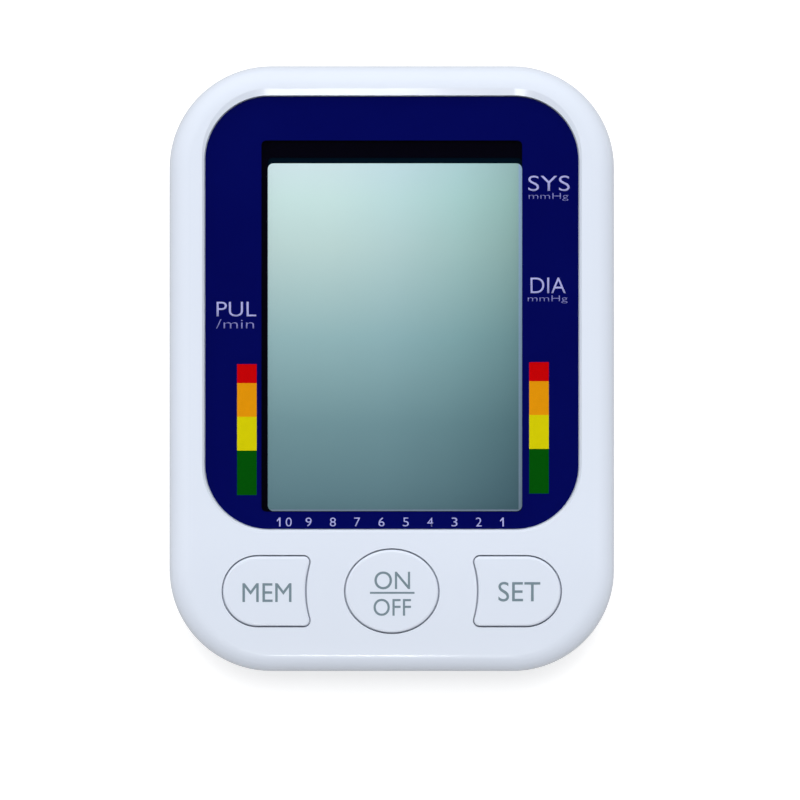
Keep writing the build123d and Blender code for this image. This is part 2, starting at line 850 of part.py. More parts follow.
with BuildPart() as rear_housing:
    add(case_outer)
    add(case_inner, mode=Mode.SUBTRACT)
    split(bisect_by=at_depth(parting_depth), keep=Keep.BOTTOM)
    with BuildSketch(at_depth(parting_depth)):
        case_outline(lip_inset)
        case_outline(wall, Mode.SUBTRACT)
    extrude(amount=lip_height)
    add(rear_supports.part)
    with BuildSketch(at_depth(case_boss_end)):
        with Locations(*case_screw_places):
            Circle(screw_clear_radius)
    extrude(amount=-deep, mode=Mode.SUBTRACT)
    with BuildSketch(at_depth(case_boss_end + screw_shoulder)):
        with Locations(*case_screw_places):
            Circle(screw_well_radius)
    extrude(amount=-deep, mode=Mode.SUBTRACT)
    with BuildSketch(Plane.XY):
        with Locations(*foot_places):
            Circle(foot_radius + foot_slack)
    extrude(amount=foot_thickness, mode=Mode.SUBTRACT)
    # bay, its cover's seat, and the slots for the cover's hooks
    with BuildSketch(Plane.XY):
        with Locations((0, (bay_front + bay_rear) / 2)):
            Rectangle(2 * bay_half, bay_length)
    extrude(amount=bay_ceiling, mode=Mode.SUBTRACT)
    with BuildSketch(Plane.XY):
        with Locations((0, (cover_front + cover_rear) / 2)):
            RectangleRounded(
                2 * (cover_half + cover_gap), cover_rear - cover_front + 2 * cover_gap, cover_corner
            )
    extrude(amount=cover_top, mode=Mode.SUBTRACT)
    for x in hook_xs:
        with BuildSketch(Plane.YZ.offset(x)):
            with BuildLine():
                Polyline(
                    (bay_rear - cover_gap, base_level),
                    (hinge_y, base_level),
                    (hinge_y, floor_level),
                    (cover_rear + hook_reach + hook_room, floor_level),
                    (cover_rear + hook_reach + hook_room, hook_top + hook_room),
                    (bay_rear - cover_gap, hook_top + hook_room),
                    close=True,
                )
            make_face()
        extrude(amount=hook_width / 2 + cover_gap, both=True, mode=Mode.SUBTRACT)
    # the latch sits in a notch in front of the bay, with a hollow for the thumb
    with BuildSketch(Plane.XY):
        with Locations((0, cover_front)):
            Rectangle(latch_width + 2 * cover_gap, 2 * (latch_reach + cover_gap))
    extrude(amount=cover_top, mode=Mode.SUBTRACT)
    with BuildSketch(Plane.XY):
        with Locations((0, cover_front - latch_reach - thumb_reach + thumb_radius)):
            Circle(thumb_radius)
        with Locations((0, cover_front)):
            Rectangle(2 * thumb_radius, 2 * latch_reach, mode=Mode.SUBTRACT)
        with Locations((0, bay_front)):
            Rectangle(
                2 * thumb_radius,
                2 * thumb_radius,
                align=(Align.CENTER, Align.MIN),
                mode=Mode.SUBTRACT,
            )
    extrude(amount=base_level + thumb_depth, mode=Mode.SUBTRACT)
    # ribs that keep the cells apart
    with BuildSketch(Plane.XY.offset(bay_ceiling)):
        with Locations((0, cell_start + cell_length / 2)):
            with GridLocations(cell_pitch, 0, cell_count - 1, 1):
                Rectangle(rib_thickness, cell_length - 2 * rib_height)
    extrude(amount=-rib_height)
    for x, y, z, radius in saddles:
        with BuildSketch(Plane.YZ.offset(x)):
            with Locations((y, z)):
                Circle(radius)
        extrude(amount=saddle_thickness, mode=Mode.SUBTRACT)
    add(socket_hole, mode=Mode.SUBTRACT)
    add(jack_hole, mode=Mode.SUBTRACT)
    # slots through which the tails of the end contacts reach the board
    with BuildSketch(Plane.XY.offset(bay_ceiling)):
        for x in tail_xs:
            with Locations((x, bay_front)):
                Rectangle(
                    tail_width + 2 * tail_slack,
                    plate_thickness + tail_slack,
                    align=(Align.CENTER, Align.MIN),
                )
    extrude(amount=bay_wall, mode=Mode.SUBTRACT)
    # a fine groove round the sides where the two shells meet
    with BuildSketch(at_depth(parting_depth)):
        case_outline(-seam_line)
        case_outline(seam_line, Mode.SUBTRACT)
    extrude(amount=-seam_line, mode=Mode.SUBTRACT)
finish(rear_housing, "rear_housing")

with BuildPart() as case_screws:
    with BuildSketch(at_depth(case_boss_end + screw_shoulder)):
        with Locations(*case_screw_places):
            Circle(screw_head_radius)
    extrude(amount=-screw_head_height)
    with BuildSketch(at_depth(case_boss_end + screw_shoulder)):
        with Locations(*case_screw_places):
            Circle(screw_radius)
    extrude(amount=screw_shoulder + screw_grip - screw_end_gap)
    with BuildSketch(at_depth(case_boss_end + screw_shoulder + screw_head_height)):
        with Locations(*case_screw_places):
            Rectangle(2 * screw_recess_radius, screw_recess_radius / 2)
            Rectangle(screw_recess_radius / 2, 2 * screw_recess_radius)
    extrude(amount=screw_recess_depth, mode=Mode.SUBTRACT)
finish(case_screws, "case_screws")

for i, place in enumerate(foot_places, start=1):
    with BuildPart() as foot:
        with BuildSketch(Plane.XY):
            with Locations(place):
                Circle(foot_radius)
        extrude(amount=foot_thickness)
        chamfer(foot.edges().group_by(Axis.Z)[0], foot_edge)
    finish(foot, f"foot_{i}")

# Battery cover: plate flush with the base, two hooks at the rear, thumb latch at the front
with BuildPart() as battery_cover:
    with BuildSketch(Plane.XY.offset(base_level)):
        with Locations((0, (cover_front + cover_rear) / 2)):
            RectangleRounded(2 * cover_half, cover_rear - cover_front, cover_corner - cover_gap)
        with Locations((0, cover_front)):
            Rectangle(latch_width, 2 * latch_reach)
    extrude(amount=cover_thickness)
    for x in hook_xs:
        with BuildSketch(Plane.YZ.offset(x)):
            with BuildLine():
                Polyline(
                    (cover_rear - hook_root, base_level),
                    (cover_rear, base_level),
                    (cover_rear, hook_low),
                    (cover_rear + hook_reach, hook_low),
                    (cover_rear + hook_reach, hook_top),
                    (cover_rear - hook_root, hook_top),
                    close=True,
                )
            make_face()
        extrude(amount=hook_width / 2, both=True)
    with BuildSketch(Plane.XY.offset(base_level)):
        with Locations((0, cover_front - latch_reach)):
            with GridLocations(latch_width - latch_slot - 2 * latch_corner, 0, 2, 1):
                Rectangle(latch_slot, 2 * latch_slot_length)
    extrude(amount=cover_thickness, mode=Mode.SUBTRACT)
    with BuildSketch(Plane.XY.offset(base_level)):
        with Locations((0, cover_front + latch_slot_length + grip_count * grip_pitch)):
            with GridLocations(0, grip_pitch, 1, grip_count):
                SlotOverall(grip_width, grip_line)
    extrude(amount=grip_depth, mode=Mode.SUBTRACT)
finish(battery_cover, "battery_cover")

# Cells lie side by side, turned end for end in turn, each with its spring at the flat end
def cell_low(index):
    # Y where the cell's body begins
    room = spring_room if index % 2 == 0 else cell_nub_height
    return bay_front + plate_thickness + room


for i, x in enumerate(cell_xs):
    low = cell_low(i)
    nub_start = low + cell_length + cell_nub_height if i % 2 == 0 else low
    with BuildPart() as cell:
        with BuildSketch(Plane.XZ.offset(-(low + cell_length))):
            with Locations((x, cell_axis_z)):
                Circle(cell_radius)
        extrude(amount=cell_length)
        chamfer(cell.edges(), cell_edge)
        with BuildSketch(Plane.XZ.offset(-nub_start)):
            with Locations((x, cell_axis_z)):
                Circle(cell_nub_radius)
        extrude(amount=cell_nub_height)
    finish(cell, f"aa_cell_{i + 1}")


def contact_plate(name, first, last, rear, tail=0):
    # nickel strip that stands against the bay's end wall behind one cell or two; the end
    # contacts carry a tail up to the board
    middle = (cell_xs[first] + cell_xs[last]) / 2
    width = cell_xs[last] - cell_xs[first] + plate_width
    start = bay_rear if rear else bay_front + plate_thickness
    with BuildPart() as plate:
        with BuildSketch(Plane.XZ.offset(-start)):
            with Locations((middle, cell_axis_z)):
                RectangleRounded(width, plate_height, plate_corner)
        extrude(amount=plate_thickness)
        if tail > 0:
            with BuildSketch(Plane.XZ.offset(-start)):
                with Locations((middle, cell_axis_z)):
                    Rectangle(tail, deep, align=(Align.CENTER, Align.MIN))
            extrude(amount=plate_thickness)
            split(bisect_by=at_depth(board_under), keep=Keep.BOTTOM)
    finish(plate, name)


contact_plate("negative_contact", 0, 0, False, tail_width)
contact_plate("front_bridge", 1, 2, False)
contact_plate("positive_contact", 3, 3, False, tail_width)
contact_plate("left_rear_bridge", 0, 1, True)
contact_plate("right_rear_bridge", 2, 3, True)

# Conical springs between each cell's flat end and its contact
with BuildPart() as contact_springs:
    for i, x in enumerate(cell_xs):
        inward = 1 if i % 2 == 0 else -1
        foot_y = bay_front + plate_thickness if i % 2 == 0 else bay_rear - plate_thickness
        coil = Helix(
            spring_pitch,
            spring_room - 2 * spring_wire,
            spring_radius,
            center=(x, foot_y + inward * spring_wire, cell_axis_z),
            direction=(0, inward, 0),
            cone_angle=-spring_cone,
            mode=Mode.PRIVATE,
        )
        with BuildSketch(Plane(origin=coil @ 0, z_dir=coil % 0)):
            RegularPolygon(spring_wire, spring_wire_sides)
        sweep(path=coil, is_frenet=True)
finish(contact_springs, "contact_springs")

# Pump motor: steel can with an end boss, two magnets, and the rotor with its crank
motor_middle = (motor_left + motor_right) / 2
slot_reach = 2 * (rotor_radius - rotor_slot_middle) + rotor_slot
with BuildPart() as pump_motor:
    with BuildSketch(Plane.YZ.offset(motor_left)):
        with Locations((pump_y, pump_z)):
            Circle(motor_radius)
    extrude(amount=motor_length)
    chamfer(pump_motor.edges(), motor_edge)
    with BuildSketch(Plane.YZ.offset(motor_right)):
        with Locations((pump_y, pump_z)):
            Circle(motor_boss_radius)
    extrude(amount=motor_boss_length)
    with BuildSketch(Plane.YZ.offset(motor_left + motor_wall)):
        with Locations((pump_y, pump_z)):
            Circle(motor_radius - motor_wall)
    extrude(amount=motor_length - 2 * motor_wall, mode=Mode.SUBTRACT)
    with BuildSketch(Plane.YZ.offset(motor_left)):
        with Locations((pump_y, pump_z)):
            Circle(shaft_radius + shaft_running)
    extrude(amount=motor_length + motor_boss_length / 2, mode=Mode.SUBTRACT)
finish(pump_motor, "pump_motor")

with BuildPart() as motor_magnets:
    with BuildSketch(Plane.YZ.offset(motor_middle - magnet_length / 2)):
        with Locations((pump_y, pump_z)):
            Circle(motor_radius - motor_wall)
            Circle(motor_radius - motor_wall - magnet_thickness, mode=Mode.SUBTRACT)
            Rectangle(2 * motor_radius, magnet_gap, mode=Mode.SUBTRACT)
    extrude(amount=magnet_length)
finish(motor_magnets, "motor_magnets")

with BuildPart() as pump_rotor:
    with BuildSketch(Plane.YZ.offset(motor_middle - rotor_length / 2)):
        with Locations((pump_y, pump_z)):
            Circle(rotor_radius)
            with PolarLocations(rotor_slot_middle, rotor_poles):
                Rectangle(slot_reach, rotor_slot, mode=Mode.SUBTRACT)
    extrude(amount=rotor_length)
    with BuildSketch(Plane.YZ.offset(motor_left - crank_gap - crank_length)):
        with Locations((pump_y, pump_z)):
            Circle(shaft_radius)
    extrude(amount=crank_length + motor_length + motor_boss_length / 2 + crank_gap - shaft_end_gap)
    with BuildSketch(Plane.YZ.offset(motor_left - crank_gap)):
        with Locations((pump_y, pump_z + crank_offset)):
            Circle(crank_radius)
    extrude(amount=-crank_length)
finish(pump_rotor, "pump_rotor")

with BuildPart() as pump_head:
    with BuildSketch(Plane.YZ.offset(pump_left)):
        with Locations((pump_y, pump_z)):
            RectangleRounded(pump_head_size, pump_head_size, pump_head_radius)
    extrude(amount=pump_head_length)
    for x in pump_head_seams:
        with BuildSketch(Plane.YZ.offset(pump_left + x)):
            with Locations((pump_y, pump_z)):
                RectangleRounded(pump_head_size, pump_head_size, pump_head_radius)
                RectangleRounded(
                    pump_head_size - 2 * seam_groove,
                    pump_head_size - 2 * seam_groove,
                    pump_head_radius - seam_groove,
                    mode=Mode.SUBTRACT,
                )
        extrude(amount=seam_groove, mode=Mode.SUBTRACT)
    with BuildSketch(Plane.YZ.offset(motor_left)):
        with Locations((pump_y, pump_z)):
            Circle(pump_cavity_radius)
    extrude(amount=-(pump_head_length - pump_head_wall), mode=Mode.SUBTRACT)
    with BuildSketch(Plane.YZ.offset(pump_left)):
        with Locations((pump_port_y, line_z)):
            Circle(nozzle_radius)
    extrude(amount=-nozzle_length)
    with BuildSketch(Plane.YZ.offset(pump_left - nozzle_length)):
        with Locations((pump_port_y, line_z)):
            Circle(nozzle_bore)
    extrude(amount=nozzle_length + pump_head_wall, mode=Mode.SUBTRACT)
finish(pump_head, "pump_head")

with BuildPart() as pump_sleeve:
    with BuildSketch(Plane.YZ.offset(sleeve_left)):
        with Locations((pump_y, pump_z)):
            Circle(sleeve_radius)
            Circle(motor_radius, mode=Mode.SUBTRACT)
    extrude(amount=sleeve_length)
finish(pump_sleeve, "pump_sleeve")

# Air manifold: a small block with nozzles for the socket, the pump and the sensor
manifold_middle = Vector(manifold_x, line_y, line_z)
manifold_reach = manifold_size / 2 + nozzle_length
with BuildPart() as air_manifold:
    with Locations(manifold_middle):
        Box(manifold_size, manifold_size, manifold_size)
    chamfer(air_manifold.edges(), manifold_edge)
    for way in ((-1, 0, 0), (0, 1, 0), (0, 0, 1)):
        with Locations(Plane(manifold_middle, z_dir=way)):
            Cylinder(nozzle_radius, manifold_reach, align=(Align.CENTER, Align.CENTER, Align.MIN))
    with Locations(manifold_middle):
        Box(manifold_chamber, manifold_chamber, manifold_chamber, mode=Mode.SUBTRACT)
    for way in ((-1, 0, 0), (0, 1, 0), (0, 0, 1), (0, -1, 0), (0, 0, -1)):
        with Locations(Plane(manifold_middle, z_dir=way)):
            Cylinder(
                nozzle_bore,
                manifold_reach,
                align=(Align.CENTER, Align.CENTER, Align.MIN),
                mode=Mode.SUBTRACT,
            )
finish(air_manifold, "air_manifold")

# Exhaust valve under the manifold, with its solenoid plunger closed against the top seat
valve_top = line_z - manifold_size / 2
plunger_low = valve_top - valve_wall - plunger_length
with BuildPart() as exhaust_valve:
    with BuildSketch(Plane.XY.offset(floor_level)):
        with Locations((manifold_x, line_y)):
            Rectangle(valve_width, valve_length)
    extrude(amount=valve_top - floor_level)
    chamfer(exhaust_valve.edges().filter_by(Axis.Z), valve_edge)
    with BuildSketch(Plane.XY.offset(plunger_low - plunger_travel - plunger_gap)):
        with Locations((manifold_x, line_y)):
            Circle(plunger_radius + plunger_gap)
    extrude(amount=plunger_length + plunger_travel + 2 * plunger_gap, mode=Mode.SUBTRACT)
    with BuildSketch(Plane.XY.offset(valve_top)):
        with Locations((manifold_x, line_y)):
            Circle(nozzle_bore)
    extrude(amount=-valve_wall, mode=Mode.SUBTRACT)
finish(exhaust_valve, "exhaust_valve")

with BuildPart() as valve_plunger:
    with BuildSketch(Plane.XY.offset(plunger_low)):
        with Locations((manifold_x, line_y)):
            Circle(plunger_radius)
    extrude(amount=plunger_length)
    chamfer(valve_plunger.edges(), plunger_gap)
finish(valve_plunger, "valve_plunger")

# Slow bleed plug on the manifold's side towards the user
with BuildPart() as bleed_valve:
    with BuildSketch(Plane.XZ.offset(-(line_y - manifold_size / 2))):
        with Locations((manifold_x, line_z)):
            Circle(bleed_radius)
    extrude(amount=bleed_length)
    chamfer(bleed_valve.faces().sort_by(Axis.Y)[0].edges(), manifold_edge)
    with BuildSketch(Plane.XZ.offset(-(line_y - manifold_size / 2))):
        with Locations((manifold_x, line_z)):
            Circle(bleed_hole)
    extrude(amount=bleed_length, mode=Mode.SUBTRACT)
finish(bleed_valve, "bleed_valve")

# Pressure sensor on the board, its nozzle towards the manifold
sensor_depth = board_under + sensor_height / 2
sensor_side = sensor_u + sensor_width / 2
sensor_port = inside(sensor_side, sensor_v, sensor_depth)
sensor_tip = sensor_port + Vector(nozzle_length, 0, 0)
with BuildPart() as pressure_sensor:
    with BuildSketch(at_depth(board_under)):
        with Locations((sensor_u, sensor_v)):
            Rectangle(sensor_width, sensor_length)
    extrude(amount=-sensor_height)
    chamfer(pressure_sensor.faces().sort_by(outward)[0].edges(), chip_chamfer)
    add(rod(sensor_port - Vector(chip_chamfer, 0, 0), sensor_tip, nozzle_radius))
    add(rod(sensor_port, sensor_tip, nozzle_bore), mode=Mode.SUBTRACT)
finish(pressure_sensor, "pressure_sensor")

# Air socket for the cuff's plug: body through the side wall, collar inside, nozzle inwards
collar_outer = socket_face + wall + socket_collar_radius * taper_slope + fit_slack
with BuildPart() as air_socket:
    with BuildSketch(Plane.YZ.offset(socket_outer)):
        with Locations((line_y, line_z)):
            Circle(socket_radius)
    extrude(amount=socket_depth)
    with BuildSketch(Plane.YZ.offset(collar_outer)):
        with Locations((line_y, line_z)):
            Circle(socket_collar_radius)
    extrude(amount=socket_collar_thickness)
    with BuildSketch(Plane.YZ.offset(socket_inner)):
        with Locations((line_y, line_z)):
            Circle(nozzle_radius)
    extrude(amount=nozzle_length)
    with BuildSketch(Plane.YZ.offset(socket_outer)):
        with Locations((line_y, line_z)):
            Circle(nozzle_bore)
    extrude(amount=socket_depth + nozzle_length, mode=Mode.SUBTRACT)
    with BuildSketch(Plane.YZ.offset(socket_outer)):
        with Locations((line_y, line_z)):
            Circle(socket_bore)
    extrude(amount=socket_bore_length, mode=Mode.SUBTRACT)
    mouth = air_socket.faces().sort_by(Axis.X)[0].edges()
    chamfer(mouth, socket_mouth_chamfer)
finish(air_socket, "air_socket")


def hose(name, path):
    # silicone tube pushed over the nozzles at its two ends
    with BuildPart() as tube:
        with BuildSketch(Plane(origin=path @ 0, z_dir=path % 0)):
            Circle(hose_radius)
            Circle(nozzle_radius, mode=Mode.SUBTRACT)
        sweep(path=path)
    finish(tube, name)


def bend_radii(points):
    # each bend as wide as its two runs allow
    radii = []
    for before, corner, after in zip(points, points[1:], points[2:]):
        run_in = corner - before
        run_out = after - corner
        shorter = min(run_in.length, run_out.length)
        radii.append(bend_share * shorter / tan(radians(run_in.get_angle(run_out) / 2)))
    return radii


socket_tail = Vector(socket_inner, line_y, line_z)
manifold_left = Vector(manifold_x - manifold_size / 2, line_y, line_z)
manifold_rear = Vector(manifold_x, line_y + manifold_size / 2, line_z)
manifold_top = Vector(manifold_x, line_y, line_z + manifold_size / 2)
pump_port = Vector(pump_left, pump_port_y, line_z)
pump_route = [pump_port, Vector(manifold_x, pump_port_y, line_z), manifold_rear]
above_manifold = Vector(manifold_x, line_y, sensor_port.Z + (line_y - sensor_port.Y) * tan(tilt))
sensor_route = [
    sensor_port,
    sensor_port + Vector(sensor_hose_run, 0, 0),
    above_manifold,
    manifold_top,
]
hose("socket_hose", Line(socket_tail, manifold_left))
hose("pump_hose", FilletPolyline(*pump_route, radius=bend_radii(pump_route)))
hose("sensor_hose", FilletPolyline(*sensor_route, radius=bend_radii(sensor_route)))
print("hose bends", bend_radii(pump_route), bend_radii(sensor_route))

# Leads of the motor and the valve, from their terminals up to the board's underside
def board_underside(x, y):
    # the point on the board's underside above this place on the table
    return Vector(x, y, face_height + (y - face_shift) * tan(tilt) - board_under / cos(tilt))


def lead_pair(name, routes):
    paths = [FilletPolyline(*route, radius=lead_bend) for route in routes]
    with BuildPart() as pair:
        for path in paths:
            with BuildSketch(Plane(origin=path @ 0, z_dir=path % 0)):
                Circle(lead_radius)
            sweep(path=path)
        split(bisect_by=at_depth(board_under), keep=Keep.BOTTOM)
    finish(pair, name)


lead_x = motor_right + lead_clear
lead_ys = (pump_y - lead_pitch / 2, pump_y + lead_pitch / 2)
terminal_z = pump_z + terminal_rise
motor_routes = [
    [
        Vector(motor_right, y, terminal_z),
        Vector(lead_x, y, terminal_z),
        Vector(lead_x, y, terminal_z + lead_pitch),
        board_underside(lead_x - lead_clear, y) + Vector(0, 0, -lead_pitch),
        board_underside(lead_x - lead_clear, y) + Vector(0, 0, lead_radius),
    ]
    for y in lead_ys
]
valve_lead_x = manifold_x + valve_width / 2 - valve_lead_inset
valve_routes = [
    [
        Vector(valve_lead_x, y, valve_top),
        Vector(valve_lead_x, y, valve_top + lead_pitch),
        board_underside(valve_lead_x, y + lead_shift) + Vector(0, 0, -lead_pitch),
        board_underside(valve_lead_x, y + lead_shift) + Vector(0, 0, lead_radius),
    ]
    for y in (line_y - lead_pitch / 2, line_y + lead_pitch / 2)
]
lead_pair("motor_leads", motor_routes)
lead_pair("valve_leads", valve_routes)
print("lead bends", lead_bend)

# Supply jack on the board, open through the right side wall
jack_mouth = inside(jack_outer, jack_v, jack_axis_depth)
jack_end = jack_mouth - Vector(jack_bore_depth, 0, 0)
with BuildPart() as dc_jack:
    with BuildSketch(at_depth(board_under)):
        with Locations((jack_outer - jack_depth / 2, jack_v)):
            Rectangle(jack_depth, jack_width)
    extrude(amount=-jack_height)
    chamfer(dc_jack.edges().filter_by(Axis.X), chip_chamfer)
    add(rod(jack_mouth, jack_end, jack_bore_radius), mode=Mode.SUBTRACT)
finish(dc_jack, "dc_jack")

with BuildPart() as jack_pin:
    add(rod(jack_end, jack_mouth - Vector(jack_pin_radius, 0, 0), jack_pin_radius))
    chamfer(jack_pin.faces().sort_by(Axis.X)[-1].edges(), jack_pin_radius / 2)
finish(jack_pin, "jack_pin")
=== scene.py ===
import json

import bpy
from mathutils import Matrix, Vector


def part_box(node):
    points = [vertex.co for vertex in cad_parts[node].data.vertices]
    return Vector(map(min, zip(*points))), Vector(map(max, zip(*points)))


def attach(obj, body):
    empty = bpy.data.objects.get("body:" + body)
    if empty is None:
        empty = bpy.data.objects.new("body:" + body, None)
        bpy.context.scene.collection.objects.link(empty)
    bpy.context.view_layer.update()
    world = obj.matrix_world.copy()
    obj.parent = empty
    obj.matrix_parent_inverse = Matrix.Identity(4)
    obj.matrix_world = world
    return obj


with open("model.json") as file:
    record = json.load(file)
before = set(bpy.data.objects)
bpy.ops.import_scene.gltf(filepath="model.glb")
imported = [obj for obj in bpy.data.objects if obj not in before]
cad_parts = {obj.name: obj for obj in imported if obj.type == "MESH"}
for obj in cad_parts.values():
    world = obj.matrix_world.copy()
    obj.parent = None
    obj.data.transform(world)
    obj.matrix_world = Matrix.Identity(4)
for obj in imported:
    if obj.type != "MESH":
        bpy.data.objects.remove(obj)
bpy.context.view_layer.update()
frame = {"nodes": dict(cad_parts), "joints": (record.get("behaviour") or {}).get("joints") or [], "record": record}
nodes = frame["nodes"]
print("frame loaded:", len(nodes), "nodes")

mm = 0.001

# the sloping face: u to the right, v up the slope, w out of it
pressAxis = Vector(next(j["axis"] for j in frame["joints"] if j["name"] == "power_press"))
faceOut = -pressAxis.normalized()
faceUp = faceOut.cross(Vector((1, 0, 0)))
faceLayout = {
    "printMiddleV": 12.6,  # v of the printed mask's middle
    "printDepth": 2.15,  # depth of the mask's middle plane
    "inkRise": 0.06,  # from the mask's middle plane to the printed layers over it
}
printLow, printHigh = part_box("window_print")
printMiddle = (Vector(printLow) + Vector(printHigh)) / 2
faceOrigin = (
    printMiddle
    - faceUp * faceLayout["printMiddleV"] * mm
    + faceOut * faceLayout["printDepth"] * mm
)


def onFace(u, v, w=0.0):
    # a place given in millimetres on the sloping face
    return faceOrigin + Vector((u, 0, 0)) * mm + faceUp * v * mm + faceOut * w * mm


def faceMatrix(u, v, w=0.0):
    # turns a flat piece drawn in millimetres on the XY plane so that it lies on the face
    turn = Matrix((Vector((1, 0, 0)), faceUp, faceOut)).transposed().to_4x4()
    return Matrix.Translation(onFace(u, v, w)) @ turn @ Matrix.Scale(mm, 4)


# ---- materials

class Signal:
    # a shader socket that takes part in plain arithmetic
    def __init__(self, paint, socket):
        self.paint = paint
        self.socket = socket

    def __add__(self, other):
        return self.paint.maths("ADD", self, other)

    def __radd__(self, other):
        return self.paint.maths("ADD", other, self)

    def __sub__(self, other):
        return self.paint.maths("SUBTRACT", self, other)

    def __rsub__(self, other):
        return self.paint.maths("SUBTRACT", other, self)

    def __mul__(self, other):
        return self.paint.maths("MULTIPLY", self, other)

    def __rmul__(self, other):
        return self.paint.maths("MULTIPLY", other, self)

    def __gt__(self, other):
        return self.paint.maths("GREATER_THAN", self, other)

    def __lt__(self, other):
        return self.paint.maths("LESS_THAN", self, other)


class Graph:
    # a tree of shader nodes
    def __init__(self, tree):
        self.tree = tree

    def add(self, kind, settings, sockets, output=0):
        node = self.tree.nodes.new(kind)
        stops = settings.pop("stops", None)
        for key, value in settings.items():
            setattr(node, key, value)
        if stops:
            ramp = node.color_ramp
            while len(ramp.elements) < len(stops):
                ramp.elements.new(0.5)
            for element, (position, colour) in zip(ramp.elements, stops):
                element.position = position
                element.color = (*colour, 1)
        for key, value in sockets.items():
            if isinstance(value, Signal):
                self.tree.links.new(value.socket, node.inputs[key])
            else:
                node.inputs[key].default_value = value
        return Signal(self, node.outputs[output])

    def maths(self, operation, first, second):
        return self.add("ShaderNodeMath", {"operation": operation}, {0: first, 1: second})


class Paint(Graph):
    # one procedural material with its Principled shader
    def __init__(self, name, **plain):
        self.material = bpy.data.materials.new(name)
        self.material.use_nodes = True
        super().__init__(self.material.node_tree)
        self.shader = self.tree.nodes["Principled BSDF"]
        self.output = self.tree.nodes["Material Output"]
        for socket, value in plain.items():
            self.shader.inputs[socket.replace("_", " ")].default_value = value

    def place(self):
        return self.add("ShaderNodeTexCoord", {}, {}, "Object")

    def axis(self, name):
        return self.add("ShaderNodeSeparateXYZ", {}, {0: self.place()}, name)

    def flat(self):
        # the true facing of a flat sheet, without the softening towards its thin edges
        return self.add("ShaderNodeNewGeometry", {}, {}, "True Normal")

    def noise(self, scale, detail=3.0, roughness=0.5):
        sockets = {"Vector": self.place(), "Scale": scale, "Detail": detail, "Roughness": roughness}
        return self.add("ShaderNodeTexNoise", {}, sockets, "Fac")

    def between(self, factor, first, second):
        settings = {"data_type": "RGBA"}
        return self.add("ShaderNodeMix", settings, {0: factor, 6: first, 7: second}, 2)

    def times(self, first, second):
        settings = {"data_type": "RGBA", "blend_type": "MULTIPLY"}
        return self.add("ShaderNodeMix", settings, {0: 1.0, 6: first, 7: second}, 2)

    def bump(self, height, strength, distance):
        sockets = {"Height": height, "Strength": strength, "Distance": distance}
        self.feed("Normal", self.add("ShaderNodeBump", {}, sockets, "Normal"))

    def grey(self, signal):
        return self.add("ShaderNodeCombineColor", {}, {0: signal, 1: signal, 2: signal})

    def feed(self, socket, signal):
        self.tree.links.new(signal.socket, self.shader.inputs[socket])

    def mixShaders(self, share, first, second):
        # puts the second shader over the first by the given share
        mix = self.add("ShaderNodeMixShader", {}, {0: share, 1: first, 2: second})
        self.tree.links.new(mix.socket, self.output.inputs[0])


def rgb(red, green, blue):
    # screen colour, 0 to 255, to the shader's own linear scale
    def linear(value):
        value /= 255
        return value / 12.92 if value <= 0.04045 else ((value + 0.055) / 1.055) ** 2.4

    return (linear(red), linear(green), linear(blue))


def colour(red, green, blue):
    return (*rgb(red, green, blue), 1)


def dimmed(tone, share):
    return (*(channel * share for channel in tone[:3]), 1)


plasticLook = {
    "cloudScale": 28.0,  # slow unevenness of the tone
    "shade": 0.965,
    "glossScale": 140.0,
    "glossSpread": 0.08,
    "texture": 0.25,  # strength of the mould's own texture
    "coatRoughness": 0.06,
    "index": 1.49,
}


def mouldedPlastic(name, tone, rough, grain, grainScale, coat=0.0, shine=0.5):
    # moulded plastic: faint unevenness of tone and gloss, and the mould's own texture
    look = plasticLook
    coating = {"Coat_Weight": coat, "Coat_Roughness": look["coatRoughness"]}
    paint = Paint(name, IOR=look["index"], Specular_IOR_Level=shine, **coating)
    cloud = paint.noise(look["cloudScale"], 2.0)
    paint.feed("Base Color", paint.between(cloud, dimmed(tone, look["shade"]), tone))
    spread = look["glossSpread"]
    paint.feed("Roughness", paint.noise(look["glossScale"]) * spread + (rough - spread / 2))
    paint.bump(paint.noise(grainScale, 2.0, 0.6), look["texture"], grain)
    return paint.material


metalLook = {
    "lineScale": 220.0,  # fine streaks left by rolling or turning
    "lineSpread": 0.2,  # of the roughness
    "lineStrength": 0.2,  # of the bump
    "lineDepth": 0.00002,
    "tarnishScale": 60.0,
    "tarnish": 0.72,
}


def metal(name, tone, rough, streak):
    # rolled or turned metal with fine streaks and slight tarnish
    paint = Paint(name, Metallic=1.0)
    stretch = paint.add("ShaderNodeMapping", {}, {"Vector": paint.place(), "Scale": (1.0, streak, 1.0)})
    look = metalLook
    sockets = {"Vector": stretch, "Scale": look["lineScale"], "Detail": 3.0}
    lines = paint.add("ShaderNodeTexNoise", {}, sockets, "Fac")
    tarnish = paint.noise(look["tarnishScale"])
    paint.feed("Base Color", paint.between(tarnish, dimmed(tone, look["tarnish"]), tone))
    paint.feed("Roughness", lines * look["lineSpread"] + (rough - look["lineSpread"] / 2))
    paint.bump(lines, look["lineStrength"], look["lineDepth"])
    return paint.material


rubberLook = {
    "index": 1.52,
    "dustScale": 90.0,
    "dust": (1.35, 0.01),  # dusty patches: the tone times the first, plus the second
    "glossScale": 50.0,
    "glossSpread": 0.15,
    "roughness": 0.62,
    "grainScale": 2600.0,
    "grain": 0.4,
    "grainDepth": 0.00003,
}


